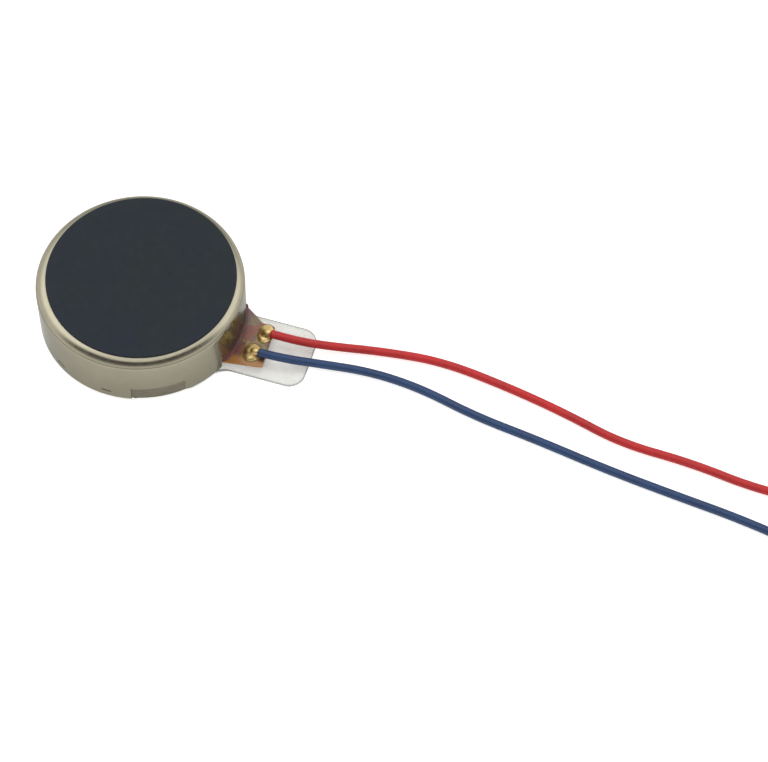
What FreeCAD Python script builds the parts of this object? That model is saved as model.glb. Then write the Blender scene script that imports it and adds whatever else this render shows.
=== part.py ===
import FreeCAD, Part
import math
import os

# Coin vibration motor, 10 mm across and 3.0 mm thick, with a flexible circuit, two insulated
# leads, a black top pad and an adhesive base on a clear release liner.
# Millimetres. The origin is the centre of the liner's underside, +Z is the shaft's axis,
# pointing away from the mounting face, and +X points along the tab that the leads leave by.

# ---- driving dimensions -----------------------------------------------------------------
CASE_RADIUS = 5.0
MOTOR_THICKNESS = 3.0            # case only, without the films stuck to it
SHEET = 0.20                     # drawn sheet of the cup
LINER_THICKNESS = 0.08
ADHESIVE_THICKNESS = 0.07
PAD_THICKNESS = 0.12
SHAFT_RADIUS = 0.40
LEAD_DIAMETER = 0.42
CONDUCTOR_DIAMETER = 0.22        # stranded copper, tinned

# ---- levels above the mounting face -----------------------------------------------------
CASE_BOTTOM = LINER_THICKNESS + ADHESIVE_THICKNESS
CASE_TOP = CASE_BOTTOM + MOTOR_THICKNESS
CASE_CEILING = CASE_TOP - SHEET
RECESS_FLOOR = CASE_BOTTOM + 0.15
PLATE_TOP = CASE_BOTTOM + 0.25
FILM_TOP = RECESS_FLOOR + 0.04
COPPER_TOP = FILM_TOP + 0.025
BOSS_TOP = PLATE_TOP + 0.20
MAGNET_TOP = PLATE_TOP + 0.65
AXIAL_PLAY = 0.01
WASHER_THICKNESS = 0.05
COMMUTATOR_BOTTOM = MAGNET_TOP + 0.125
BOARD_BOTTOM = COMMUTATOR_BOTTOM + 0.025
BOARD_TOP = BOARD_BOTTOM + 0.10
COIL_TOP = BOARD_TOP + 0.95
RESIN_TOP = BOARD_TOP + 1.28
WEIGHT_TOP = BOARD_TOP + 1.40
BUSH_BOTTOM = BOSS_TOP + AXIAL_PLAY + WASHER_THICKNESS
BUSH_TOP = CASE_CEILING - 2 * AXIAL_PLAY - WASHER_THICKNESS
FOOT_BOTTOM = COPPER_TOP + 0.075
LEAD_EXIT_HEIGHT = PLATE_TOP + 0.26
FLOOR_REST = LEAD_DIAMETER / 2   # a lead's centre where it lies on the surface
LINER_REST = LINER_THICKNESS + LEAD_DIAMETER / 2 + 0.03

# ---- case -------------------------------------------------------------------------------
TOP_EDGE_RADIUS = 0.55
INNER_EDGE_RADIUS = 0.35
WINDOW_HALF_WIDTH = 1.85         # the opening that the flexible circuit leaves by
WINDOW_TOP = CASE_BOTTOM + 0.65
RELIEF_DEPTH = 0.08              # pressed step in the skirt, beside the window
RELIEF_TOP = CASE_BOTTOM + 0.90
RELIEF_START, RELIEF_END = -77.0, -43.0
STAKE_DEPTH = 0.06
STAKE_ANGLES = (-91.0, -121.5)   # two short staking marks
STAKE_HALF_ANGLE = 2.8
STAKE_LOW = CASE_BOTTOM + 0.38
STAKE_HIGH = CASE_BOTTOM + 0.54

# ---- base plate, magnet and shaft -------------------------------------------------------
PLATE_RADIUS = CASE_RADIUS - SHEET - 0.01
BOSS_RADIUS = 0.75
MAGNET_INNER, MAGNET_OUTER = 1.75, 4.30
TONGUE = [(4.40, -1.60), (6.24, -1.32), (6.16, 0.72), (5.70, 0.76), (4.40, 1.60)]

# ---- flexible circuit -------------------------------------------------------------------
FLEX_HUB_RADIUS = 1.66
FLEX_HOLE_RADIUS = 0.80
FLEX_STRIP = [(0.0, -1.20), (3.0, -1.45), (4.66, -1.72), (6.54, -1.46),
              (6.44, 0.90), (5.80, 0.94), (4.60, 1.74), (3.0, 1.45), (0.0, 1.20)]
FLEX_CORNER = 0.12
RECESS_GAP = 0.04
TRACE_RING = (0.95, 1.50)
TRACE_SWEEP = (20.0, 100.0)
POSITIVE_STRIP = [(1.20, 0.45), (5.92, 0.20), (5.92, 0.54), (1.20, 0.85)]
NEGATIVE_STRIP = [(1.20, -0.85), (5.56, -0.98), (5.56, -0.62), (1.20, -0.45)]
POSITIVE_PAD = (5.80, -0.14, 6.36, 0.80)     # low x, low y, high x, high y
NEGATIVE_PAD = (5.46, -1.24, 6.10, -0.42)
PAD_OPENING_INSET = 0.04

# ---- brushes ----------------------------------------------------------------------------
BRUSH_THICKNESS = 0.05
BRUSH_WIDTH = 0.30
BRUSH_OFFSET = 1.18              # from the shaft's axis to the middle of a leaf
BRUSH_TIP_GAP = 0.012

# ---- outer solder joints ----------------------------------------------------------------
SOLDER_HALF_WIDTH = 0.30
SOLDER_TOP = LEAD_EXIT_HEIGHT + CONDUCTOR_DIAMETER / 2 + 0.10
SOLDER_ROUNDING = 0.13

# ---- rotor ------------------------------------------------------------------------------
ROTOR_RADIUS = 4.40
ROTOR_HALF_SWEEP = 100.0
HEAVY_SIDE = 180.0               # the heavy side points away from the leads at rest
BUSH_BORE_RADIUS = 0.43
BUSH_RADIUS = 0.85
BOARD_HUB_RADIUS = 1.95
RESIN_HUB_RADIUS = 1.45
COMMUTATOR_RING = (0.95, 1.65)
COMMUTATOR_SEGMENTS = 6
SEGMENT_GAP_DEG = 9.0
COIL_CENTRE_RADIUS = 2.85
COIL_SPREAD = 58.0
COIL_RADIUS = 1.28
COIL_CORE_RADIUS = 0.42
WEIGHT_HALF_SWEEP = 42.0
WEIGHT_INNER = 1.60
WEIGHT_COIL_GAP = 0.08
WASHER_RADIUS = 0.80

# ---- soft and stuck-on parts ------------------------------------------------------------
TOP_PAD_RADIUS = 4.55
TOP_PAD_OFFSET = (0.07, 0.01)     # stuck on by hand, a little off the axis
ADHESIVE_RADIUS = 4.60
LINER_RADIUS = 4.80
LINER_TAB = [(3.60, -1.93), (8.58, -1.93), (8.58, 1.43), (3.60, 1.43)]
LINER_CORNER = 0.80
LINER_NECK_FILLET = 1.20
WELD_RADIUS = 0.14
WELD_HEIGHT = 0.04
WELD_CIRCLE_RADIUS = CASE_RADIUS - SHEET
WELD_ANGLES = (60.0, 150.0, 210.0, 285.0)
SEALANT_BULGE = 0.34

# ---- the leads' routes, from the solder joint to the end of the insulation --------------
RED_ROUTE = [
    (6.42, 0.31, LEAD_EXIT_HEIGHT),
    (7.70, 0.33, LEAD_EXIT_HEIGHT - 0.10),
    (9.40, 0.70, LINER_REST),
    (11.80, 1.22, FLOOR_REST),
    (14.70, 1.52, FLOOR_REST),
    (18.10, 1.06, FLOOR_REST),
    (21.10, 0.46, FLOOR_REST),
    (24.00, -0.34, FLOOR_REST),
    (27.40, -0.40, FLOOR_REST),
    (30.60, -0.86, FLOOR_REST),
    (33.80, -0.72, FLOOR_REST),
    (36.60, -1.02, FLOOR_REST),
]
BLUE_ROUTE = [
    (6.17, -0.88, LEAD_EXIT_HEIGHT),
    (7.40, -0.80, LEAD_EXIT_HEIGHT - 0.10),
    (9.00, -0.44, LINER_REST),
    (11.50, -0.06, FLOOR_REST),
    (14.10, -0.24, FLOOR_REST),
    (17.00, -0.96, FLOOR_REST),
    (20.20, -1.36, FLOOR_REST),
    (23.60, -1.92, FLOOR_REST),
    (27.00, -2.32, FLOOR_REST),
    (30.20, -2.64, FLOOR_REST),
    (33.40, -3.20, FLOOR_REST),
    (36.20, -3.34, FLOOR_REST),
]
INNER_STRIP_LENGTH = 0.56        # bare conductor held in the solder
TIP_LENGTH = 2.0                 # bare tinned end of each lead

UP = FreeCAD.Vector(0, 0, 1)
AXIS_FOOT = FreeCAD.Vector(0, 0, 0)


# ---- small builders ---------------------------------------------------------------------
def point(x, y, z=0.0):
    return FreeCAD.Vector(x, y, z)


def disc(radius, low, high):
    return Part.makeCylinder(radius, high - low, point(0, 0, low))


def ring(inner, outer, low, high):
    return disc(outer, low, high).cut(disc(inner, low, high))


def sector(inner, outer, middle_deg, half_sweep_deg, low, high):
    """An annular sector centred on the angle middle_deg."""
    wedge = Part.makeCylinder(outer, high - low, point(0, 0, low), UP, 2 * half_sweep_deg)
    wedge.rotate(AXIS_FOOT, UP, middle_deg - half_sweep_deg)
    return wedge.cut(disc(inner, low, high))


def prism(outline, low, high):
    corners = [point(x, y, low) for x, y in outline]
    face = Part.Face(Part.makePolygon(corners + corners[:1]))
    return face.extrude(point(0, 0, high - low))


def slab(rectangle, low, high, inset=0.0):
    x_low, y_low, x_high, y_high = rectangle
    size_x = x_high - x_low - 2 * inset
    size_y = y_high - y_low - 2 * inset
    return Part.makeBox(size_x, size_y, high - low, point(x_low + inset, y_low + inset, low))


def upright_edges(shape, test):
    """The straight vertical edges whose place passes the test."""
    found = []
    for edge in shape.Edges:
        first, last = edge.Vertexes[0].Point, edge.Vertexes[-1].Point
        if abs(first.x - last.x) < 1e-6 and abs(first.y - last.y) < 1e-6 and test(first):
            found.append(edge)
    return found


def edges_at(shape, height, test):
    """The edges that lie flat at a height and whose middle passes the test."""
    found = []
    for edge in shape.Edges:
        box = edge.BoundBox
        if abs(box.ZMin - height) < 1e-6 and abs(box.ZMax - height) < 1e-6:
            if test(edge.CenterOfMass):
                found.append(edge)
    return found


def on_circle(radius, angle_deg, height=0.0):
    angle = math.radians(angle_deg)
    return point(radius * math.cos(angle), radius * math.sin(angle), height)


# ---- case, base plate and shaft ---------------------------------------------------------
def case_cup():
    """Deep-drawn cup, open at the bottom, with the shaft's hole in its top."""
    outside = disc(CASE_RADIUS, CASE_BOTTOM, CASE_TOP)
    outside = outside.makeFillet(TOP_EDGE_RADIUS, edges_at(outside, CASE_TOP, lambda p: True))
    inside = disc(CASE_RADIUS - SHEET, CASE_BOTTOM, CASE_CEILING)
    inside = inside.makeFillet(INNER_EDGE_RADIUS, edges_at(inside, CASE_CEILING, lambda p: True))
    cup = outside.cut(inside).cut(disc(SHAFT_RADIUS, CASE_CEILING, CASE_TOP))
    window = slab((0, -WINDOW_HALF_WIDTH, CASE_RADIUS + 1, WINDOW_HALF_WIDTH),
                  CASE_BOTTOM, WINDOW_TOP)
    cup = cup.cut(window)
    cup = cup.cut(skirt_step(RELIEF_DEPTH, (RELIEF_START + RELIEF_END) / 2,
                             (RELIEF_END - RELIEF_START) / 2, CASE_BOTTOM, RELIEF_TOP))
    for angle in STAKE_ANGLES:
        cup = cup.cut(skirt_step(STAKE_DEPTH, angle, STAKE_HALF_ANGLE, STAKE_LOW, STAKE_HIGH))
    return cup


def skirt_step(depth, middle_deg, half_sweep_deg, low, high):
    """What a shallow step takes out of the skirt's outer face."""
    return sector(CASE_RADIUS - depth, CASE_RADIUS + 1, middle_deg, half_sweep_deg, low, high)


def flex_outline(grow, low, high):
    """The circuit's keyhole: a hub round the shaft and a strip that tapers to the tab's end."""
    strip = prism(FLEX_STRIP, low, high)
    outer = upright_edges(strip, lambda p: p.x > 6.0)
    strip = strip.makeFillet(FLEX_CORNER, outer)
    keyhole = strip.fuse(disc(FLEX_HUB_RADIUS, low, high)).removeSplitter()
    if grow > 0:
        middle = (low + high) / 2
        section = Part.Face(keyhole.slice(UP, middle))
        section = section.makeOffset2D(grow)
        section.translate(point(0, 0, low - middle))
        keyhole = section.extrude(point(0, 0, high - low))
    return keyhole


def base_plate():
    """Round plate with a raised collar for the shaft, a tongue and a recess for the circuit."""
    plate = disc(PLATE_RADIUS, CASE_BOTTOM, PLATE_TOP)
    recess = flex_outline(RECESS_GAP, RECESS_FLOOR, PLATE_TOP)
    plate = plate.cut(recess)
    plate = plate.fuse(prism(TONGUE, CASE_BOTTOM, RECESS_FLOOR))
    plate = plate.fuse(disc(BOSS_RADIUS, RECESS_FLOOR, BOSS_TOP))
    return plate.cut(disc(SHAFT_RADIUS, CASE_BOTTOM, BOSS_TOP)).removeSplitter()


def shaft():
    return disc(SHAFT_RADIUS, CASE_BOTTOM, CASE_TOP)


def ring_magnet():
    magnet = ring(MAGNET_INNER, MAGNET_OUTER, PLATE_TOP, MAGNET_TOP)
    return magnet.makeChamfer(0.05, edges_at(magnet, MAGNET_TOP, lambda p: True))


def seam_welds():
    """Spot welds across the seam between the skirt and the base plate."""
    spots = []
    for angle in WELD_ANGLES:
        place = on_circle(WELD_CIRCLE_RADIUS, angle, CASE_BOTTOM - WELD_HEIGHT)
        spots.append(Part.makeCone(WELD_RADIUS * 0.6, WELD_RADIUS, WELD_HEIGHT, place))
    return Part.makeCompound(spots)


# ---- flexible circuit, brushes and solder -----------------------------------------------
def flex_film():
    film = flex_outline(0, RECESS_FLOOR, FILM_TOP)
    return film.cut(disc(FLEX_HOLE_RADIUS, RECESS_FLOOR, FILM_TOP))


def trace(strip, pad, middle_deg):
    """One copper trace: the outer pad, the strip and the ring piece under a brush's foot."""
    inner, outer = TRACE_RING
    half_sweep = (TRACE_SWEEP[1] - TRACE_SWEEP[0]) / 2
    copper = sector(inner, outer, middle_deg, half_sweep, FILM_TOP, COPPER_TOP)
    copper = copper.fuse(prism(strip, FILM_TOP, COPPER_TOP))
    copper = copper.fuse(slab(pad, FILM_TOP, COPPER_TOP))
    return copper.removeSplitter()


def flex_coverlay(traces):
    """The cover film, filled in round the copper and open over the pads and brush feet."""
    cover = flex_outline(0, FILM_TOP, PLATE_TOP)
    cover = cover.cut(disc(FLEX_HOLE_RADIUS, FILM_TOP, PLATE_TOP))
    for copper in traces:
        cover = cover.cut(copper)
    for pad in (POSITIVE_PAD, NEGATIVE_PAD):
        cover = cover.cut(slab(pad, COPPER_TOP, PLATE_TOP, PAD_OPENING_INSET))
    for turn in (0, 180):
        opening = slab((0.22, 1.00, 0.78, 1.36), COPPER_TOP, PLATE_TOP)
        opening.rotate(AXIS_FOOT, UP, turn)
        cover = cover.cut(opening)
    return cover


def leaf(line, thickness, width):
    """A flat spring strip whose middle line is given in x and z; it is width wide along y."""
    upper, lower = [], []
    for index, (x, z) in enumerate(line):
        before = line[max(index - 1, 0)]
        after = line[min(index + 1, len(line) - 1)]
        run = math.hypot(after[0] - before[0], after[1] - before[1])
        side_x = -(after[1] - before[1]) / run * thickness / 2
        side_z = (after[0] - before[0]) / run * thickness / 2
        upper.append(point(x + side_x, 0, z + side_z))
        lower.append(point(x - side_x, 0, z - side_z))
    outline = upper + lower[::-1]
    face = Part.Face(Part.makePolygon(outline + outline[:1]))
    strip = face.extrude(point(0, width, 0))
    strip.translate(point(0, -width / 2, 0))
    return strip


def brush(turn_deg):
    """A leaf that rises from its foot on the copper to a rounded tip under the commutator."""
    foot = FOOT_BOTTOM + BRUSH_THICKNESS / 2
    tip = COMMUTATOR_BOTTOM - BRUSH_TIP_GAP - BRUSH_THICKNESS / 2
    line = [(0.74, foot), (0.26, foot), (0.14, foot + 0.03), (-0.60, tip - 0.10),
            (-0.72, tip - 0.02), (-0.80, tip), (-0.88, tip - 0.03), (-0.94, tip - 0.09)]
    strip = leaf(line, BRUSH_THICKNESS, BRUSH_WIDTH)
    strip.translate(point(0, BRUSH_OFFSET, 0))
    strip.rotate(AXIS_FOOT, UP, turn_deg)
    return strip


def brush_solder_joints():
    joints = []
    for turn in (0, 180):
        dot = slab((0.28, 1.05, 0.72, 1.31), COPPER_TOP, FOOT_BOTTOM)
        dot.rotate(AXIS_FOOT, UP, turn)
        joints.append(dot)
    return Part.makeCompound(joints)


def solder_joint(pad, core):
    """A rounded mound on an outer pad, with the bare conductor running through it."""
    x_low, _, x_high, _ = pad
    middle = core.CenterOfMass.y
    footprint = (x_low + PAD_OPENING_INSET, middle - SOLDER_HALF_WIDTH,
                 x_high - PAD_OPENING_INSET, middle + SOLDER_HALF_WIDTH)
    mound = slab(footprint, COPPER_TOP, SOLDER_TOP)
    mound = mound.makeFillet(SOLDER_ROUNDING, upright_edges(mound, lambda p: True))
    crown = edges_at(mound, SOLDER_TOP, lambda p: True)
    return mound.makeFillet(SOLDER_ROUNDING, crown).cut(core)


# ---- rotor ------------------------------------------------------------------------------
def coil_places():
    for side in (-1, 1):
        yield on_circle(COIL_CENTRE_RADIUS, HEAVY_SIDE + side * COIL_SPREAD)


def coil(centre):
    """A flat air-cored coil standing on the board."""
    foot = point(centre.x, centre.y, BOARD_TOP)
    winding = Part.makeCylinder(COIL_RADIUS, COIL_TOP - BOARD_TOP, foot)
    winding = winding.cut(Part.makeCylinder(COIL_CORE_RADIUS, COIL_TOP - BOARD_TOP, foot))
    return winding.makeFillet(0.08, edges_at(winding, COIL_TOP, lambda p: True))


def rotor_board():
    board = sector(0.0001, ROTOR_RADIUS, HEAVY_SIDE, ROTOR_HALF_SWEEP, BOARD_BOTTOM, BOARD_TOP)
    board = board.fuse(disc(BOARD_HUB_RADIUS, BOARD_BOTTOM, BOARD_TOP))
    return board.cut(disc(BUSH_RADIUS, BOARD_BOTTOM, BOARD_TOP)).removeSplitter()


def commutator_segments():
    inner, outer = COMMUTATOR_RING
    pitch = 360.0 / COMMUTATOR_SEGMENTS
    half_sweep = (pitch - SEGMENT_GAP_DEG) / 2
    segments = []
    for index in range(COMMUTATOR_SEGMENTS):
        middle = (index + 0.5) * pitch
        segments.append(sector(inner, outer, middle, half_sweep, COMMUTATOR_BOTTOM, BOARD_BOTTOM))
    return Part.makeCompound(segments)


def counterweight():
    """Tungsten block between the coils, scalloped to clear them."""
    block = sector(WEIGHT_INNER, ROTOR_RADIUS, HEAVY_SIDE, WEIGHT_HALF_SWEEP, BOARD_TOP, WEIGHT_TOP)
    for centre in coil_places():
        foot = point(centre.x, centre.y, BOARD_TOP)
        block = block.cut(Part.makeCylinder(COIL_RADIUS + WEIGHT_COIL_GAP,
                                            WEIGHT_TOP - BOARD_TOP, foot))
    return block


def rotor_resin(coils, weight):
    """Moulded body that holds the coils and the weight to the board and the bush."""
    body = sector(0.0001, ROTOR_RADIUS, HEAVY_SIDE, ROTOR_HALF_SWEEP, BOARD_TOP, RESIN_TOP)
    body = body.fuse(disc(RESIN_HUB_RADIUS, BOARD_TOP, RESIN_TOP))
    body = body.cut(disc(BUSH_RADIUS, BOARD_TOP, RESIN_TOP)).removeSplitter()
    for held in coils + [weight]:
        body = body.cut(held)
    return body


def rotor_bearing():
    return ring(BUSH_BORE_RADIUS, BUSH_RADIUS, BUSH_BOTTOM, BUSH_TOP)


def washer(low):
    return ring(BUSH_BORE_RADIUS, WASHER_RADIUS, low, low + WASHER_THICKNESS)


def coil_solder_joints():
    dots = []
    for offset in (-45, -15, 15, 45):
        place = on_circle(1.70, HEAVY_SIDE + 180 + offset, BOARD_TOP)
        dots.append(Part.makeCone(0.14, 0.07, 0.09, place))
    return Part.makeCompound(dots)


# ---- leads ------------------------------------------------------------------------------
def lead_path(name, route):
    """Straight runs joined by tangent arcs, each as large as its two runs allow."""
    corners = [point(*place) for place in route]
    edges = []
    radii = []
    start = corners[0]
    for before, corner, after in zip(corners, corners[1:], corners[2:]):
        inward = (corner - before).normalize()
        outward = (after - corner).normalize()
        turn = inward.getAngle(outward)
        setback = 0.45 * min((corner - before).Length, (after - corner).Length)
        radius = setback / math.tan(turn / 2)
        radii.append(round(radius, 1))
        arc_start = corner - inward * setback
        arc_end = corner + outward * setback
        towards_centre = (outward - inward).normalize()
        arc_middle = corner + towards_centre * (radius / math.cos(turn / 2) - radius)
        edges.append(Part.LineSegment(start, arc_start).toShape())
        edges.append(Part.Arc(arc_start, arc_middle, arc_end).toShape())
        start = arc_end
    edges.append(Part.LineSegment(start, corners[-1]).toShape())
    path = Part.Wire(edges)
    print(name, "length", round(path.Length, 2), "radii", radii)
    return path


def lead_tube(name, route):
    path = lead_path(name, route)
    first, second = point(*route[0]), point(*route[1])
    section = Part.Wire(Part.makeCircle(LEAD_DIAMETER / 2, first, second - first))
    tube = path.makePipeShell([section], True, False)
    expected = math.pi * (LEAD_DIAMETER / 2) ** 2 * path.Length
    print(name, "volume", round(tube.Volume, 4), "expected", round(expected, 4))
    return tube


def conductor(end, neighbour, length):
    """Bare conductor that runs out of a lead's end, in line with the last run."""
    end, neighbour = point(*end), point(*neighbour)
    return Part.makeCylinder(CONDUCTOR_DIAMETER / 2, length, end, end - neighbour)


# ---- soft and stuck-on parts ------------------------------------------------------------
def top_pad():
    place = point(*TOP_PAD_OFFSET, CASE_TOP)
    return Part.makeCylinder(TOP_PAD_RADIUS, PAD_THICKNESS, place)


def release_liner():
    """Die-cut clear film: a disc with a pull tab under the leads."""
    tab = prism(LINER_TAB, 0, LINER_THICKNESS)
    tab = tab.makeFillet(LINER_CORNER, upright_edges(tab, lambda p: p.x > 8.0))
    film = tab.fuse(disc(LINER_RADIUS, 0, LINER_THICKNESS)).removeSplitter()
    neck = upright_edges(film, lambda p: p.x < 5.0 and abs(p.y) > 1.2)
    return film.makeFillet(LINER_NECK_FILLET, neck)


def exit_sealant(flex):
    """Amber adhesive that closes the window over the circuit and beads along the wall."""
    bead = slab((CASE_RADIUS - SHEET, -WINDOW_HALF_WIDTH, CASE_RADIUS + 1, WINDOW_HALF_WIDTH),
                PLATE_TOP, WINDOW_TOP)
    bead = bead.common(ring(CASE_RADIUS - SHEET, CASE_RADIUS + SEALANT_BULGE,
                            PLATE_TOP, WINDOW_TOP))
    outer = edges_at(bead, WINDOW_TOP, lambda p: math.hypot(p.x, p.y) > CASE_RADIUS)
    bead = bead.makeFillet(0.20, [edge for edge in outer if edge.Length > 1.0])
    return bead.cut(flex)


def export(shapes):
    os.makedirs("parts", exist_ok=True)
    for node, shape in shapes.items():
        if not shape.isValid():
            raise ValueError(node + " is not a valid shape")
        shape.exportStep("parts/" + node + ".step")
    print(len(shapes), "parts written")


def build():
    traces = {
        "flex_trace_positive": trace(POSITIVE_STRIP, POSITIVE_PAD, sum(TRACE_SWEEP) / 2),
        "flex_trace_negative": trace(NEGATIVE_STRIP, NEGATIVE_PAD, -sum(TRACE_SWEEP) / 2),
    }
    film = flex_film()
    cover = flex_coverlay(list(traces.values()))
    cores = {
        "lead_core_red": conductor(RED_ROUTE[0], RED_ROUTE[1], INNER_STRIP_LENGTH),
        "lead_core_blue": conductor(BLUE_ROUTE[0], BLUE_ROUTE[1], INNER_STRIP_LENGTH),
    }
    coils = [coil(centre) for centre in coil_places()]
    weight = counterweight()
    shapes = {
        "case_cup": case_cup(),
        "base_plate": base_plate(),
        "shaft": shaft(),
        "ring_magnet": ring_magnet(),
        "seam_welds": seam_welds(),
        "flex_base_film": film,
        "flex_coverlay": cover,
        "brush_positive": brush(0),
        "brush_negative": brush(180),
        "brush_solder_joints": brush_solder_joints(),
        "solder_joint_red": solder_joint(POSITIVE_PAD, cores["lead_core_red"]),
        "solder_joint_blue": solder_joint(NEGATIVE_PAD, cores["lead_core_blue"]),
        "lead_red": lead_tube("lead_red", RED_ROUTE),
        "lead_blue": lead_tube("lead_blue", BLUE_ROUTE),
        "tinned_tip_red": conductor(RED_ROUTE[-1], RED_ROUTE[-2], TIP_LENGTH),
        "tinned_tip_blue": conductor(BLUE_ROUTE[-1], BLUE_ROUTE[-2], TIP_LENGTH),
        "exit_sealant": exit_sealant(cover),
        "top_pad": top_pad(),
        "adhesive_disc": disc(ADHESIVE_RADIUS, LINER_THICKNESS, CASE_BOTTOM),
        "release_liner": release_liner(),
        "rotor_board": rotor_board(),
        "commutator_segments": commutator_segments(),
        "coil_left": coils[0],
        "coil_right": coils[1],
        "counterweight": weight,
        "rotor_resin": rotor_resin(coils, weight),
        "rotor_bearing": rotor_bearing(),
        "lower_washer": washer(BUSH_BOTTOM - WASHER_THICKNESS),
        "upper_washer": washer(BUSH_TOP),
        "coil_solder_joints": coil_solder_joints(),
    }
    shapes.update(traces)
    shapes.update(cores)
    return shapes


export(build())
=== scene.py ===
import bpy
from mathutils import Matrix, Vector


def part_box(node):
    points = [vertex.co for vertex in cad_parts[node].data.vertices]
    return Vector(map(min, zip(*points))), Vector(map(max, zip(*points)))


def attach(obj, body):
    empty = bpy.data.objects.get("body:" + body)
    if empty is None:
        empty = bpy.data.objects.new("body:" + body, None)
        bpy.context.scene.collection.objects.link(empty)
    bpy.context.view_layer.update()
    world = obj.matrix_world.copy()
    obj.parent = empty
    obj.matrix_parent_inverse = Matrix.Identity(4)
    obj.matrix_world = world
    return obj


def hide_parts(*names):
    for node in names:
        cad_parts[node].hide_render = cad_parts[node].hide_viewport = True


bl_info = {
    "name": "Coin Vibration Motor",
    "version": (1, 0, 0),
    "blender": (4, 5, 0),
    "location": "View3D > Sidebar > Coin Motor",
    "description": "Models and finishes the pieces of a coin vibration motor",
    "category": "Object",
}

import math

import bmesh
import bpy
from bpy.props import FloatProperty, FloatVectorProperty, PointerProperty
from mathutils import Vector

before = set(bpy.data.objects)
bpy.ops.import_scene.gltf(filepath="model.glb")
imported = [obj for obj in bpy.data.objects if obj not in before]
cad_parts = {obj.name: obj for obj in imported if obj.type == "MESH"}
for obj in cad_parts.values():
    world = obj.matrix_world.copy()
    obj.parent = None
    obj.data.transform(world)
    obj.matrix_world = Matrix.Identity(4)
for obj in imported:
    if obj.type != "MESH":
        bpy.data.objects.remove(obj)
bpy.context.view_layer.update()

MM = 0.001
ROUND_STEPS = 256                # sides of what is turned on the shaft's axis
WELD = 1e-6                      # points closer than this are one point
HOUSING = "housing"
ROTOR = "rotor"

# The leads' routes from the solder joints to the ends of the insulation, in metres.
RED_ROUTE = [
    (0.00642, 0.00031, 0.00066),
    (0.00770, 0.00033, 0.00056),
    (0.00940, 0.00070, 0.00032),
    (0.01180, 0.00122, 0.00021),
    (0.01470, 0.00152, 0.00021),
    (0.01810, 0.00106, 0.00021),
    (0.02110, 0.00046, 0.00021),
    (0.02400, -0.00034, 0.00021),
    (0.02740, -0.00040, 0.00021),
    (0.03060, -0.00086, 0.00021),
    (0.03380, -0.00072, 0.00021),
    (0.03660, -0.00102, 0.00021),
]
BLUE_ROUTE = [
    (0.00617, -0.00088, 0.00066),
    (0.00740, -0.00080, 0.00056),
    (0.00900, -0.00044, 0.00032),
    (0.01150, -0.00006, 0.00021),
    (0.01410, -0.00024, 0.00021),
    (0.01700, -0.00096, 0.00021),
    (0.02020, -0.00136, 0.00021),
    (0.02360, -0.00192, 0.00021),
    (0.02700, -0.00232, 0.00021),
    (0.03020, -0.00264, 0.00021),
    (0.03340, -0.00320, 0.00021),
    (0.03620, -0.00334, 0.00021),
]


def linear(hex_colour):
    """A colour written as sRGB hex, in the linear values that Blender wants."""
    values = [int(hex_colour[place:place + 2], 16) / 255 for place in (1, 3, 5)]
    return tuple(v / 12.92 if v <= 0.04045 else ((v + 0.055) / 1.055) ** 2.4 for v in values)


def colour(label, words, hex_colour):
    return FloatVectorProperty(name=label, description=words, subtype="COLOR", size=3,
                               min=0.0, max=1.0, default=linear(hex_colour))


def length(label, words, metres):
    return FloatProperty(name=label, description=words, unit="LENGTH", precision=5,
                         min=0.0, default=metres)


def half_width(node):
    low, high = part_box(node)
    return (high[1] - low[1]) / 2


class CoinMotorSizes(bpy.types.PropertyGroup):
    """Sizes that a user would change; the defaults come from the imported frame."""

    case_radius: length("Case radius", "Outer radius of the drawn cup", half_width("case_cup"))
    sheet: length("Sheet", "Thickness of the cup's metal", 0.20 * MM)
    top_edge: length("Top edge radius", "Rounding of the cup's top edge", 0.55 * MM)
    window_half: length("Window half width", "Half of the opening for the circuit", 1.85 * MM)
    window_height: length("Window height", "Height of the opening for the circuit", 0.65 * MM)
    relief_depth: length("Relief depth", "Depth of the pressed step in the skirt", 0.08 * MM)
    relief_height: length("Relief height", "Height of the pressed step", 0.90 * MM)
    pad_radius: length("Pad radius", "Radius of the black top pad", half_width("top_pad"))
    pad_edge: length("Pad edge radius", "Rounding of the pad's cut edge", 0.035 * MM)
    adhesive_radius: length("Adhesive radius", "Radius of the adhesive disc",
                            half_width("adhesive_disc"))
    liner_radius: length("Liner radius", "Radius of the liner's disc",
                         half_width("release_liner"))
    lead_diameter: length("Lead diameter", "Outside diameter of a lead", 0.42 * MM)
    strand_radius: length("Strand radius", "Radius of one strand of a conductor", 0.036 * MM)


class CoinMotorColours(bpy.types.PropertyGroup):
    """Colours that a user would change."""

    nickel: colour("Nickel", "Nickel plating of the case", "#A29D8B")
    nickel_shade: colour("Nickel shade", "Duller patches of the plating", "#8F8A79")
    # painted shade: the darker tone of the pressed step's floor stands in for the shade in that
    # recess
    bare_steel: colour("Bare steel", "Steel of the pressed step, darker as painted shade", "#706A5E")
    pad: colour("Pad", "Black rubber of the top pad", "#262C2F")
    pad_tint: colour("Pad tint", "Bluer patches of the top pad", "#252A33")
    red: colour("Red lead", "Red insulation", "#B01C1E")
    blue: colour("Blue lead", "Blue insulation", "#1A375F")
    film: colour("Film", "Clear polyester liner", "#D6D5CE")
    amber: colour("Amber", "Polyimide of the circuit", "#A8915A")
    amber_shade: colour("Amber shade", "Darker patches of the polyimide", "#604432")
    rust: colour("Rust", "Reddish flux stains on the polyimide", "#96402F")
    # painted shade: the darker mauve of the tab next to the wall, where the case shades it
    mauve: colour("Mauve", "Polyimide by the wall, darker as painted shade", "#6C4544")
    olive: colour("Olive", "Flux-stained far side of the polyimide", "#8C8058")
    # painted light: the brighter orange along the tab's near edge, where the film's edge is lit
    lit_edge_amber: colour("Lit edge amber", "Painted light along the polyimide's near edge", "#C08038")
    sealant: colour("Sealant", "Cured adhesive at the window", "#6A4240")
    floor: colour("Floor", "Pale studio floor", "#F3F3F2")


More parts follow.
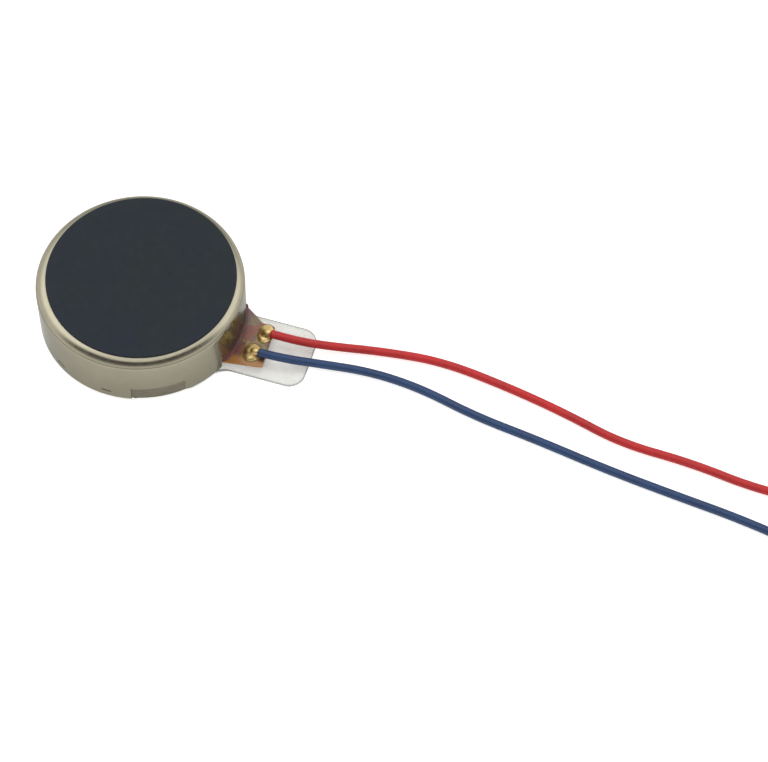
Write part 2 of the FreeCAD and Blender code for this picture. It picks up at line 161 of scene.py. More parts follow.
# ---- modelling helpers ------------------------------------------------------------------
def deselect():
    if bpy.context.object and bpy.context.object.mode != "OBJECT":
        bpy.ops.object.mode_set(mode="OBJECT")
    bpy.ops.object.select_all(action="DESELECT")


def take(piece):
    """Makes a piece the only selected and active one."""
    deselect()
    piece.select_set(True)
    bpy.context.view_layer.objects.active = piece


def settle(piece):
    """Puts a piece's place, turn and scale into its mesh."""
    take(piece)
    bpy.ops.object.transform_apply(location=True, rotation=True, scale=True)


def started(name):
    """Names the primitive just added and puts its place in its mesh."""
    piece = bpy.context.object
    piece.name = name
    piece.data.name = name
    settle(piece)
    return piece


def edit(piece):
    take(piece)
    bpy.ops.object.mode_set(mode="EDIT")
    bpy.ops.mesh.select_all(action="SELECT")


def close_up(piece):
    """Welds double points, closes what is open and turns the faces outwards."""
    edit(piece)
    bpy.ops.mesh.remove_doubles(threshold=WELD)
    bpy.ops.mesh.delete_loose()
    bpy.ops.mesh.select_all(action="SELECT")
    bpy.ops.mesh.fill_holes(sides=0)
    bpy.ops.mesh.select_all(action="SELECT")
    bpy.ops.mesh.normals_make_consistent(inside=False)
    bpy.ops.object.mode_set(mode="OBJECT")


def smooth(piece, degrees=35.0):
    take(piece)
    bpy.ops.object.shade_smooth_by_angle(angle=math.radians(degrees))


def apply_modifier(piece, kind, **settings):
    take(piece)
    modifier = piece.modifiers.new(kind, kind)
    for name, value in settings.items():
        setattr(modifier, name, value)
    bpy.ops.object.modifier_apply(modifier=modifier.name)


def carve(piece, other, operation="DIFFERENCE"):
    """Cuts a piece with another mesh, or joins it on, and throws the other away."""
    apply_modifier(piece, "BOOLEAN", operation=operation, solver="EXACT", object=other)
    bpy.data.objects.remove(other)


def select_edges(piece, test):
    """In edit mode, selects the edges whose two ends pass the test, and no others."""
    bpy.ops.mesh.select_mode(type="EDGE")
    bpy.ops.mesh.select_all(action="DESELECT")
    shape = bmesh.from_edit_mesh(piece.data)
    for edge in shape.edges:
        if test(edge.verts[0].co, edge.verts[1].co):
            edge.select_set(True)
    shape.select_flush_mode()
    bmesh.update_edit_mesh(piece.data)


def turned(name, profile, segments=ROUND_STEPS):
    """A shape turned on the shaft's axis, from a profile of radii and heights."""
    deselect()
    radius, height = profile[0]
    bpy.ops.mesh.primitive_circle_add(vertices=segments, radius=radius, location=(0, 0, height))
    piece = started(name)
    edit(piece)
    for next_radius, next_height in profile[1:]:
        bpy.ops.mesh.extrude_edges_move(
            TRANSFORM_OT_translate={"value": (0, 0, next_height - height)})
        ratio = next_radius / radius
        bpy.ops.transform.resize(value=(ratio, ratio, 1), center_override=(0, 0, next_height))
        radius, height = next_radius, next_height
    close_up(piece)
    return piece


def arc(centre_radius, centre_height, radius, start_deg, end_deg, steps):
    """Profile points along a rounding."""
    points = []
    for step in range(steps + 1):
        angle = math.radians(start_deg + (end_deg - start_deg) * step / steps)
        points.append((centre_radius + radius * math.cos(angle),
                       centre_height + radius * math.sin(angle)))
    return points


def spin_about_shaft(steps, degrees):
    """Sweeps what is selected anticlockwise, as seen from above; spin itself goes clockwise."""
    bpy.ops.mesh.spin(steps=steps, angle=-math.radians(degrees), center=(0, 0, 0),
                      axis=(0, 0, 1))


def sector_block(name, inner, outer, low, high, start_deg, end_deg, steps=10, fade=0.0):
    """A block swept round the shaft's axis, to cut with; fade thins its far end by so much."""
    deselect()
    start = math.radians(start_deg)
    middle = (inner + outer) / 2
    place = (middle * math.cos(start), middle * math.sin(start), (low + high) / 2)
    bpy.ops.mesh.primitive_plane_add(size=1, location=place, rotation=(math.pi / 2, 0, start))
    bpy.context.object.scale = (outer - inner, high - low, 1)
    piece = started(name)
    edit(piece)
    spin_about_shaft(steps, end_deg - start_deg)
    if fade:
        end = math.radians(end_deg)
        ratio = (inner + fade) / inner
        select_edges(piece, lambda a, b: all(abs(math.atan2(v.y, v.x) - end) < 0.01
                                             and math.hypot(v.x, v.y) < middle for v in (a, b)))
        bpy.ops.transform.resize(value=(ratio, ratio, 1), center_override=(0, 0, 0))
    close_up(piece)
    return piece


def box_block(name, low, high):
    deselect()
    low, high = Vector(low), Vector(high)
    bpy.ops.mesh.primitive_cube_add(size=1, location=(low + high) / 2)
    bpy.context.object.scale = high - low
    return started(name)


def uneven(piece, spacing, strength):
    """Pushes a surface in and out by soft noise; spacing is between its bumps."""
    clouds = bpy.data.textures.new(piece.name + "_unevenness", "CLOUDS")
    clouds.noise_scale = spacing
    apply_modifier(piece, "DISPLACE", texture=clouds, texture_coords="LOCAL",
                   strength=strength, mid_level=0.5)


def melted(piece, foot, voxel, spacing, strength, smoothing):
    """Fuses lumps drawn in millimetres into an uneven drop with a flat foot, in metres."""
    apply_modifier(piece, "REMESH", mode="VOXEL", voxel_size=voxel)
    uneven(piece, spacing, strength)
    apply_modifier(piece, "SMOOTH", factor=0.5, iterations=smoothing)
    edit(piece)
    bpy.ops.mesh.bisect(plane_co=(0, 0, foot), plane_no=(0, 0, -1), clear_outer=True,
                        use_fill=True)
    bpy.ops.object.mode_set(mode="OBJECT")
    piece.scale = (MM, MM, MM)
    settle(piece)
    close_up(piece)
    return piece


def joined(pieces, name):
    take(pieces[0])
    for piece in pieces[1:]:
        piece.select_set(True)
    bpy.ops.object.join()
    pieces[0].name = name
    return pieces[0]


def finished(piece, node, body=HOUSING, finish=None, angle=35.0):
    """Hides the CAD node that a piece stands for, and gives the piece its body and finish."""
    smooth(piece, angle)
    piece.data.materials.clear()
    piece.data.materials.append(finish)
    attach(piece, body)
    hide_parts(node)


def coat(node, finish):
    """Gives a CAD node its finish."""
    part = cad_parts[node]
    for slot in part.material_slots:
        slot.material = finish


# ---- material helpers -------------------------------------------------------------------
def new_finish(name):
    """A material with an empty node tree but for its output and its main shader."""
    finish = bpy.data.materials.new(name)
    finish.use_nodes = True
    tree = finish.node_tree
    tree.nodes.clear()
    shader = add(tree, "ShaderNodeBsdfPrincipled")
    add(tree, "ShaderNodeOutputMaterial", {"Surface": shader.outputs["BSDF"]})
    place = add(tree, "ShaderNodeTexCoord").outputs["Object"]
    return finish, tree, shader, place


def add(tree, kind, sockets=None, **settings):
    """Adds a node, sets its settings, and fills or links its inputs."""
    made = tree.nodes.new(kind)
    for name, value in settings.items():
        setattr(made, name, value)
    fill(tree, made, sockets or {})
    return made


def fill(tree, made, sockets):
    for name, value in sockets.items():
        if isinstance(value, bpy.types.NodeSocket):
            tree.links.new(value, made.inputs[name])
        else:
            made.inputs[name].default_value = value


def opaque(rgb):
    return (rgb[0], rgb[1], rgb[2], 1.0)


def per_metre(millimetres):
    """The scale of a pattern whose features are this far apart."""
    return 1.0 / (millimetres * MM)


def noise(tree, place, apart, detail, **more):
    """Soft noise with features this many millimetres apart."""
    sockets = {"Vector": place, "Scale": per_metre(apart), "Detail": detail, **more}
    return add(tree, "ShaderNodeTexNoise", sockets).outputs["Fac"]


def eased(tree, value, start, end, low=0.0, high=1.0, **settings):
    """Takes what lies from start to end to the range from low to high."""
    sockets = {"Value": value, "From Min": start, "From Max": end, "To Min": low,
               "To Max": high}
    return add(tree, "ShaderNodeMapRange", sockets, **settings).outputs["Result"]


def blend(tree, factor, first, second, kind="RGBA"):
    """Goes from one colour or level to another."""
    return add(tree, "ShaderNodeMix", {"Factor": factor, "A": first, "B": second},
               data_type=kind).outputs["Result"]


def toned(tree, factor, first, second):
    """Goes from one plain colour to another."""
    return blend(tree, factor, opaque(first), opaque(second))


def shaded(tree, tone, level):
    """A colour made lighter or darker."""
    return add(tree, "ShaderNodeVectorMath", {0: tone, "Scale": level},
               operation="SCALE").outputs["Vector"]


def bumped(tree, height, strength, depth, **more):
    """A surface's small relief, this many millimetres deep."""
    sockets = {"Height": height, "Strength": strength, "Distance": depth * MM, **more}
    return add(tree, "ShaderNodeBump", sockets).outputs["Normal"]


def stretched(tree, place, **sockets):
    """Where a pattern is looked up once it has been moved or scaled."""
    return add(tree, "ShaderNodeMapping", {"Vector": place, **sockets}).outputs["Vector"]


MIDDLE = (0.3, 0.7)              # the part of the noise that holds nearly all of its values


# ---- materials --------------------------------------------------------------------------
def nickel_plate(colours):
    """Bright nickel on drawn steel: faint draw lines up the wall, soft cloudy patches."""
    finish, tree, shader, place = new_finish("nickel_plated_drawn_steel")
    parts = add(tree, "ShaderNodeSeparateXYZ", {"Vector": place})
    turn = add(tree, "ShaderNodeMath", {0: parts.outputs["Y"], 1: parts.outputs["X"]},
               operation="ARCTAN2")
    # one turn is 31.4 mm of wall, and the draw lines are drawn 0.12 mm apart to show
    around = add(tree, "ShaderNodeMath", {0: turn.outputs[0], 1: 5.0 * MM},
                 operation="MULTIPLY")
    wall = add(tree, "ShaderNodeCombineXYZ", {"X": around.outputs[0], "Z": parts.outputs["Z"]})
    lines = noise(tree, stretched(tree, wall.outputs[0], Scale=(1.0, 1.0, 0.06)), 0.12, 3.0)
    clouds = noise(tree, place, 1.6, 4.0, Roughness=0.6)
    specks = noise(tree, place, 0.10, 2.0)
    drawn = bumped(tree, lines, 0.06, 0.004)
    fill(tree, shader, {
        "Base Color": toned(tree, clouds, colours.nickel, colours.nickel_shade),
        "Metallic": 1.0, "Specular Tint": (0.62, 0.63, 0.64, 1.0),
        "Roughness": eased(tree, lines, *MIDDLE, 0.17, 0.27),
        "Normal": bumped(tree, specks, 0.08, 0.003, Normal=drawn)})
    return finish


def recess_steel_with_painted_shade(colours):
    """Steel that the press tool has scuffed: dull, faintly scratched along, and a darker
    grey-brown that is painted shade in the recess.
    """
    finish, tree, shader, place = new_finish("scuffed_bare_steel")
    scuffs = noise(tree, stretched(tree, place, Scale=(1.0, 1.0, 6.0)), 0.5, 4.0)
    # the darker grey-brown is painted shade in the recess
    tone = toned(tree, scuffs, colours.bare_steel, colours.nickel_shade)
    fill(tree, shader, {"Base Color": tone, "Metallic": 1.0, "Roughness": 0.5,
                        "Normal": bumped(tree, scuffs, 0.2, 0.01)})
    return finish


def black_pad_rubber(colours):
    """Die-cut black rubber film: fine matt, faintly mottled, blue and green tints."""
    finish, tree, shader, place = new_finish("black_rubber_film")
    blotches = noise(tree, place, 2.2, 3.0, Roughness=0.55)
    mottle = noise(tree, place, 0.45, 4.0, Roughness=0.6)
    pores = noise(tree, place, 0.07, 2.0)
    tint = toned(tree, eased(tree, blotches, 0.35, 0.65), colours.pad, colours.pad_tint)
    waves = bumped(tree, mottle, 0.25, 0.01)
    fill(tree, shader, {
        "Base Color": shaded(tree, tint, eased(tree, mottle, *MIDDLE, 0.86, 1.14)),
        "Roughness": eased(tree, mottle, *MIDDLE, 0.62, 0.74),
        "Normal": bumped(tree, pores, 0.35, 0.006, Normal=waves), "Specular IOR Level": 0.14})
    return finish


def insulation(name, rgb):
    """Soft extruded PVC: satin, faint die lines along it and a slightly uneven tone."""
    finish, tree, shader, place = new_finish(name)
    uv = add(tree, "ShaderNodeTexCoord").outputs["UV"]
    along = stretched(tree, uv, Scale=(1.0, 18.0, 1.0))
    lines = add(tree, "ShaderNodeTexNoise", {"Vector": along, "Scale": 2.0, "Detail": 3.0})
    patches = noise(tree, place, 1.1, 3.0)
    fill(tree, shader, {
        "Base Color": shaded(tree, tuple(rgb), eased(tree, patches, *MIDDLE, 0.84, 1.14)),
        "Roughness": eased(tree, patches, *MIDDLE, 0.38, 0.50),
        "Normal": bumped(tree, lines.outputs["Fac"], 0.12, 0.01), "Specular IOR Level": 0.45,
        "Subsurface Weight": 0.08, "Subsurface Radius": (0.4, 0.1, 0.1),
        "Subsurface Scale": 0.15 * MM})
    return finish


def clear_film(colours):
    """Clear polyester film: mostly see-through, glossy, a little milky in patches."""
    finish, tree, shader, place = new_finish("clear_polyester_film")
    haze = noise(tree, place, 1.5, 3.0)
    scuffs = noise(tree, place, 0.15, 3.0)
    tone = toned(tree, scuffs, colours.film, linear("#C9CAC3"))
    fill(tree, shader, {"Base Color": tone, "IOR": 1.57,
                        "Roughness": eased(tree, scuffs, *MIDDLE, 0.08, 0.18),
                        "Alpha": eased(tree, haze, *MIDDLE, 0.30, 0.40)})
    return finish


def film_edge():
    """The cut edge of the clear film, which looks grey because light leaves sideways."""
    finish, tree, shader, place = new_finish("polyester_cut_edge")
    tone = toned(tree, noise(tree, place, 0.6, 2.0), linear("#868B86"), linear("#A6ABA5"))
    fill(tree, shader, {"Base Color": tone, "Roughness": 0.25, "Alpha": 0.8, "IOR": 1.57})
    return finish


def milky_tape():
    """Double-sided tape: milky acrylic with fine trapped bubbles."""
    finish, tree, shader, place = new_finish("acrylic_tape")
    bubbles = add(tree, "ShaderNodeTexVoronoi", {"Vector": place, "Scale": per_metre(0.30)})
    depth = bubbles.outputs["Distance"]
    tone = toned(tree, depth, linear("#D9D8D0"), linear("#B9B8AE"))
    fill(tree, shader, {"Base Color": tone, "Roughness": 0.45,
                        "Normal": bumped(tree, depth, 0.2, 0.01)})
    return finish


def polyimide(colours, name, clear):
    """Amber polyimide film: glossy brown with olive and rusty flux stains, dark mauve by the
    wall as painted shade where the case stands over the tab, and bright orange along its near
    edge as painted light where the edge is lit."""
    finish, tree, shader, place = new_finish(name)
    parts = add(tree, "ShaderNodeSeparateXYZ", {"Vector": place})
    across, out = parts.outputs["Y"], parts.outputs["X"]
    cloudy = noise(tree, place, 0.55, 4.0, Roughness=0.6)
    stains = noise(tree, stretched(tree, place, Location=(3 * MM, 1 * MM, 0.0)), 0.9, 3.0)
    creases = noise(tree, place, 0.25, 2.0)
    # how much of each tone, by the stains' depth and by the place on the tab in metres
    shares = (
        (cloudy, 0.35, 0.65, 1.0, colours.amber_shade),
        (across, 0.15 * MM, 0.75 * MM, 0.55, colours.olive),
        (stains, 0.48, 0.58, 0.85, colours.rust),
        # painted shade: darker mauve within half a millimetre of the wall
        (out, 5.45 * MM, 4.95 * MM, 0.80, colours.mauve),
        # painted light: brighter orange along the near edge, where the film's edge is lit
        (across, -1.02 * MM, -1.36 * MM, 0.85, colours.lit_edge_amber),
    )
    tone = opaque(colours.amber)
    for value, none, full, most, tint in shares:
        share = eased(tree, value, none, full, 0.0, most, interpolation_type="SMOOTHSTEP")
        tone = blend(tree, share, tone, opaque(tint))
    fill(tree, shader, {"Base Color": tone, "Roughness": 0.22, "Alpha": clear,
                        "Normal": bumped(tree, creases, 0.3, 0.02), "IOR": 1.7,
                        "Coat Weight": 0.3})
    return finish


def set_flux():
    """Rosin flux left round a joint: thin, clear, yellow-brown and glossy."""
    finish, tree, shader, place = new_finish("set_rosin_flux")
    tone = toned(tree, noise(tree, place, 0.3, 3.0), linear("#A88A4C"), linear("#6E5530"))
    fill(tree, shader, {"Base Color": tone, "Roughness": 0.12, "Alpha": 0.72, "IOR": 1.54})
    return finish


def amber_glue(colours):
    """Cured amber adhesive, as it looks over dark metal: dull mauve-brown, darker if thick."""
    finish, tree, shader, place = new_finish("cured_amber_adhesive")
    depth = noise(tree, place, 0.55, 3.0)
    tone = toned(tree, eased(tree, depth, 0.35, 0.68), colours.sealant, linear("#4A3436"))
    fill(tree, shader, {"Base Color": tone, "Roughness": 0.38, "Specular IOR Level": 0.3,
                        "Normal": bumped(tree, depth, 0.3, 0.03), "Subsurface Weight": 0.2,
                        "Subsurface Radius": (0.6, 0.25, 0.1), "Subsurface Scale": 0.2 * MM})
    return finish


def metal(name, first_hex, second_hex, roughness, grain_mm, grain_strength=0.15):
    """A plain metal: two close tones in soft patches, with a fine grain."""
    finish, tree, shader, place = new_finish(name)
    patches = noise(tree, place, grain_mm * 8, 4.0)
    grain = noise(tree, place, grain_mm, 2.0)
    tone = toned(tree, patches, linear(first_hex), linear(second_hex))
    rough = eased(tree, grain, *MIDDLE, roughness * 0.8, roughness * 1.2)
    fill(tree, shader, {"Base Color": tone, "Metallic": 1.0, "Roughness": rough,
                        "Normal": bumped(tree, grain, grain_strength, 0.01)})
    return finish


def plastic(name, first_hex, second_hex, roughness, grain_mm, grain_strength=0.2):
    """A plain moulding or film: two close tones and a fine moulded texture."""
    finish, tree, shader, place = new_finish(name)
    patches = noise(tree, place, grain_mm * 6, 3.0)
    grain = noise(tree, place, grain_mm, 2.0)
    tone = toned(tree, patches, linear(first_hex), linear(second_hex))
    fill(tree, shader, {"Base Color": tone, "Roughness": roughness,
                        "Normal": bumped(tree, grain, grain_strength, 0.01)})
    return finish


# ---- stage ------------------------------------------------------------------------------
class COINMOTOR_OT_stage(bpy.types.Operator):
    """Makes the camera, the pale floor and the soft studio light"""

    bl_idname = "coin_motor.stage"
    bl_label = "Stage"

    LENS = 120.0                 # millimetres, on a 36 mm sensor
    AZIMUTH = 14.73
    ELEVATION = 58.38
    ROLL = 2.21
    DISTANCE = 122.8 * MM
    AIM = (12.27 * MM, -0.24 * MM, 0.0)
    FLOOR_HEIGHT = -0.01 * MM
    GLOW = (0.30, 0.62)          # of the floor, as it lights things and as it is seen
    # name, place, size, power; they light the matt surfaces, and the air is what shines
    LAMPS = (
        ("back_softbox", (-0.16, 0.22, 0.40), 0.45, 0.95),
        ("front_softbox", (0.10, -0.30, 0.38), 0.45, 0.50),
    )
    # the air's brightness by height: place from 0 level to 1 overhead, then level
    DIM_WALL = ((0.0, 1.00), (0.16, 0.95), (0.42, 0.24), (0.80, 0.14), (0.90, 1.55),
                (1.0, 1.60))
    BRIGHT_WALL = ((0.0, 1.15), (0.55, 1.45), (1.0, 1.60))
    WINDOWS = (((-0.63, 0.10, 0.77), 0.7), ((0.70, 0.50, 0.51), 0.55))   # facing, level
    CAMERA_SIDE = (0.254, -0.967, 0.0)
    MATT_LEVEL = 0.72            # what matt surfaces are lit by
    SEEN_LEVEL = 0.95            # what the camera sees behind the floor

    def execute(self, context):
        self.camera(context)
        self.floor(context)
        self.lights(context)
        self.air(context)
        return {"FINISHED"}

    def camera(self, context):
        turn, rise = math.radians(self.AZIMUTH), math.radians(self.ELEVATION)
        back = Vector((math.sin(turn) * math.cos(rise), -math.cos(turn) * math.cos(rise),
                       math.sin(rise)))
        deselect()
        bpy.ops.object.camera_add(location=Vector(self.AIM) + back * self.DISTANCE)
        camera = context.object
        camera.name = "studio_camera"
        camera.data.lens = self.LENS
        camera.data.clip_start = 5 * MM
        camera.data.clip_end = 10.0
        facing = (-back).to_track_quat("-Z", "Y")
        camera.rotation_euler = facing.to_euler()
        camera.rotation_euler.rotate_axis("Z", math.radians(self.ROLL))
        context.scene.camera = camera

    def floor(self, context):
        deselect()
        # a hair below the liner, so that the two surfaces don't share a plane
        bpy.ops.mesh.primitive_plane_add(size=3.0, location=(0, 0, self.FLOOR_HEIGHT))
        floor = started("studio_floor")
        finish, tree, shader, place = new_finish("pale_paper")
        tone = blend(tree, noise(tree, place, 2.0, 3.0),
                     opaque(context.scene.coin_motor_colours.floor), opaque(linear("#F0F0EF")))
        # the paper glows a little, so that the motor's shadow on it stays faint
        seen = add(tree, "ShaderNodeLightPath").outputs["Is Camera Ray"]
        # from below the paper is clear, so that the motor's underside can be looked at
        below = add(tree, "ShaderNodeNewGeometry").outputs["Backfacing"]
        above = add(tree, "ShaderNodeMath", {0: 1.0, 1: below}, operation="SUBTRACT")
        fill(tree, shader, {"Base Color": tone, "Roughness": 0.9,
                            "Specular IOR Level": 0.1, "Alpha": above.outputs[0],
                            "Emission Strength": blend(tree, seen, *self.GLOW, "FLOAT"),
                            "Emission Color": tone})
        floor.data.materials.append(finish)

    def lights(self, context):
        for name, place, size, power in self.LAMPS:
            deselect()
            bpy.ops.object.light_add(type="AREA", location=place)
            lamp = context.object
            lamp.name = name
            lamp.data.size = size
            lamp.data.energy = power
            lamp.rotation_euler = (-Vector(place)).to_track_quat("-Z", "Y").to_euler()
            lamp.visible_glossy = False

    def air(self, context):
        """A bright ceiling panel and bright sides, but a dim wall behind the camera and
        another straight opposite it; all this is seen only in what shines."""
        world = bpy.data.worlds.new("studio_air")
        world.use_nodes = True
        tree = world.node_tree
        tree.nodes.clear()
        ray = add(tree, "ShaderNodeTexCoord").outputs["Generated"]
        height = add(tree, "ShaderNodeSeparateXYZ", {"Vector": ray}).outputs["Z"]
        towards = self.aligned(tree, ray, self.CAMERA_SIDE)
        dim = self.ramp(tree, height, self.DIM_WALL)
        bright = self.ramp(tree, height, self.BRIGHT_WALL)
        opposite = eased(tree, towards, -0.95, -0.62, 0.48, 1.0)
        sides = add(tree, "ShaderNodeMath", {0: bright, 1: opposite}, operation="MULTIPLY")
        nearer = eased(tree, towards, 0.05, 0.42, interpolation_type="SMOOTHSTEP")
        shone = blend(tree, nearer, sides.outputs[0], dim, "FLOAT")
        for facing, level in self.WINDOWS:
            window = eased(tree, self.aligned(tree, ray, facing), 0.86, 0.99, 0.0, level,
                           interpolation_type="SMOOTHSTEP")
            shone = add(tree, "ShaderNodeMath", {0: shone, 1: window},
                        operation="ADD").outputs[0]
        rays = add(tree, "ShaderNodeLightPath").outputs
        lit = blend(tree, rays["Is Glossy Ray"], self.MATT_LEVEL, shone, "FLOAT")
        strength = blend(tree, rays["Is Camera Ray"], lit, self.SEEN_LEVEL, "FLOAT")
        sky = add(tree, "ShaderNodeBackground", {"Color": opaque(linear("#FFFEFC")),
                                                 "Strength": strength})
        add(tree, "ShaderNodeOutputWorld", {"Surface": sky.outputs[0]})
        context.scene.world = world
        context.scene.view_settings.view_transform = "Standard"

    def aligned(self, tree, ray, facing):
        """How closely a ray points one way."""
        return add(tree, "ShaderNodeVectorMath", {0: ray, 1: facing},
                   operation="DOT_PRODUCT").outputs["Value"]

    def ramp(self, tree, value, steps):
        """A level that eases through the given places."""
        made = add(tree, "ShaderNodeValToRGB", {"Fac": value})
        made.color_ramp.interpolation = "EASE"
        while len(made.color_ramp.elements) < len(steps):
            made.color_ramp.elements.new(0.5)
        for element, (place, level) in zip(made.color_ramp.elements, steps):
            element.position = place
            element.color = (level, level, level, 1.0)
        return made.outputs["Color"]


# ---- leads and their conductors ---------------------------------------------------------
class COINMOTOR_OT_leads(bpy.types.Operator):
    """Makes the red and blue leads, their bare inner ends and their tinned far ends"""

    bl_idname = "coin_motor.leads"
    bl_label = "Leads"

    LENGTH = 0.0305              # metres of insulation on each lead
    TIP_LENGTH = 2.0             # millimetres
    INNER_LENGTH = 0.28          # millimetres
    LAY = 1.6                    # millimetres of conductor for one turn of its strands
    BURIED = 0.12                # millimetres of a conductor that start inside the insulation
    STRAND_STEPS = 24

    def execute(self, context):
        sizes = context.scene.coin_motor_sizes
        colours = context.scene.coin_motor_colours
        tinned = metal("tinned_copper_strand", "#CFCBC0", "#B2ADA1", 0.28, 0.05)
        for tone, route in (("red", RED_ROUTE), ("blue", BLUE_ROUTE)):
            tube, line = self.tube(tone, route, sizes.lead_diameter)
            finish = insulation(tone + "_pvc_insulation", getattr(colours, tone))
            finished(tube, "lead_" + tone, finish=finish, angle=50.0)
            core = self.conductor("conductor_" + tone, route[0], route[1],
                                  self.INNER_LENGTH, sizes)
            finished(core, "lead_core_" + tone, finish=tinned, angle=60.0)
            tip = self.conductor("tinned_end_" + tone, route[-1], route[-2],
                                 self.TIP_LENGTH, sizes)
            finished(tip, "tinned_tip_" + tone, finish=tinned, angle=60.0)
        return {"FINISHED"}

    def tube(self, tone, route, diameter):
        """A smooth tube along the route, its ends cut square with a slight rounding."""
        curve = bpy.data.curves.new("insulated_lead_" + tone, "CURVE")
        curve.dimensions = "3D"
        curve.resolution_u = 16
        spline = curve.splines.new("NURBS")
        spline.points.add(len(route) - 1)
        for control, place in zip(spline.points, route):
            control.co = (*place, 1.0)
        spline.order_u = 3
        spline.use_endpoint_u = True
        piece = bpy.data.objects.new("insulated_lead_" + tone, curve)
        bpy.context.collection.objects.link(piece)
        bare = bpy.data.meshes.new_from_object(piece)
        line = [tuple(point.co) for point in bare.vertices]
        bpy.data.meshes.remove(bare)
        curve.bevel_depth = diameter / 2
        curve.bevel_resolution = 7
        curve.use_fill_caps = True
        take(piece)
        bpy.ops.object.convert(target="MESH")
        piece = bpy.context.object
        piece.name = "insulated_lead_" + tone
        self.cut_ends(piece, diameter)
        return piece, line

    def cut_ends(self, piece, diameter):
        """Rounds the rims of the two cut ends and sinks a hole for the conductor."""
        edit(piece)
        bpy.ops.mesh.remove_doubles(threshold=WELD)
        bpy.ops.mesh.normals_make_consistent(inside=False)
        bpy.ops.mesh.select_all(action="DESELECT")
        shape = bmesh.from_edit_mesh(piece.data)
        for face in shape.faces:
            if len(face.verts) > 4:
                face.select_set(True)
        shape.select_flush_mode()
        bmesh.update_edit_mesh(piece.data)
        bpy.ops.mesh.inset(thickness=diameter * 0.05, depth=0)
        bpy.ops.mesh.inset(thickness=diameter * 0.19, depth=diameter * 0.04)
        bpy.ops.mesh.inset(thickness=diameter * 0.01, depth=-diameter * 0.3)
        bpy.ops.object.mode_set(mode="OBJECT")

    def conductor(self, name, end, neighbour, run, sizes):
        """Seven twisted strands fused by tin, running out of a lead's end."""
        radius = sizes.strand_radius / MM
        strands = []
        places = [(0.0, 0.0)]
        for index in range(6):
            angle = math.radians(60 * index)
            places.append((2 * radius * math.cos(angle), 2 * radius * math.sin(angle)))
        for x, y in places:
            deselect()
            bpy.ops.mesh.primitive_circle_add(vertices=16, radius=radius * 1.03,
                                              location=(x, y, -self.BURIED), fill_type="NGON")
            strand = started(name)
            edit(strand)
            step = (run + self.BURIED) / self.STRAND_STEPS
            for _ in range(self.STRAND_STEPS):
                bpy.ops.mesh.extrude_region_move(TRANSFORM_OT_translate={"value": (0, 0, step)})
            close_up(strand)
            strands.append(strand)
        bundle = joined(strands, name)
        apply_modifier(bundle, "SIMPLE_DEFORM", deform_method="TWIST", deform_axis="Z",
                       angle=math.radians(360 * run / self.LAY))
        apply_modifier(bundle, "REMESH", mode="VOXEL", voxel_size=0.012)
        apply_modifier(bundle, "SMOOTH", factor=0.5, iterations=3)
        end, neighbour = Vector(end), Vector(neighbour)
        bundle.scale = (MM, MM, MM)
        bundle.rotation_euler = (end - neighbour).to_track_quat("Z", "Y").to_euler()
        bundle.location = end
        settle(bundle)
        return bundle


# ---- case -------------------------------------------------------------------------------
class COINMOTOR_OT_case(bpy.types.Operator):
    """Makes the drawn cup with its window, pressed step and staking marks"""

    bl_idname = "coin_motor.case"
    bl_label = "Case"

    RELIEF = (-77.0, -43.0)      # degrees round the wall
    STAKES = (-91.0, -121.5)     # degrees
    STAKE_HALF = 2.8             # degrees
    STAKE_DEPTH = 0.025 * MM
    STAKE_LOW, STAKE_HIGH = 0.38 * MM, 0.54 * MM
    LIP = 0.03 * MM
    SHAFT_CLEARANCE = 0.005 * MM
    SKIRT = 1.05 * MM            # height of the edge row just over the pressed step

    def execute(self, context):
        sizes = context.scene.coin_motor_sizes
        low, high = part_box("case_cup")
        bottom, top = low[2], high[2]
        outer = sizes.case_radius
        inner = outer - sizes.sheet
        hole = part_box("shaft")[1][0] + self.SHAFT_CLEARANCE
        edge = sizes.top_edge
        inner_edge = edge - sizes.sheet
        profile = [(inner, bottom), (outer - self.LIP, bottom), (outer, bottom + self.LIP),
                   (outer, bottom + self.SKIRT)]
        profile += arc(outer - edge, top - edge, edge, 0, 90, 14)
        profile += [(outer - edge - 0.2 * MM, top), (hole, top), (hole, top - sizes.sheet)]
        profile += arc(inner - inner_edge, top - sizes.sheet - inner_edge, inner_edge, 90, 0, 6)
        profile += [(inner, bottom)]
        cup = turned("drawn_case", profile)
        carve(cup, box_block("window", (0, -sizes.window_half, bottom - MM),
                             (outer + MM, sizes.window_half, bottom + sizes.window_height)))
        carve(cup, sector_block("relief", outer - sizes.relief_depth, outer + MM, bottom - MM,
                                bottom + sizes.relief_height, *self.RELIEF,
                                fade=sizes.relief_depth + 0.005 * MM))
        for angle in self.STAKES:
            carve(cup, sector_block("stake", outer - self.STAKE_DEPTH, outer + MM,
                                    bottom + self.STAKE_LOW, bottom + self.STAKE_HIGH,
                                    angle - self.STAKE_HALF, angle + self.STAKE_HALF, 6))
        close_up(cup)
        colours = context.scene.coin_motor_colours
        finished(cup, "case_cup", finish=nickel_plate(colours))
        self.paint_shade_in_the_recesses(cup, outer, recess_steel_with_painted_shade(colours))
        return {"FINISHED"}

    def paint_shade_in_the_recesses(self, cup, outer, finish):
        """Where the tool pressed the skirt in, the step's floor gets a darker, duller steel
        finish; its darker tone is painted shade.
        """
        cup.data.materials.append(finish)
        for face in cup.data.polygons:
            reach = math.hypot(face.center.x, face.center.y)
            outwards = face.normal.x * face.center.x + face.normal.y * face.center.y
            # faces on the floor of the pressed step get the painted shade
            if outer - 0.09 * MM < reach < outer - 0.04 * MM and outwards > 0.9 * reach:
                face.material_index = 1


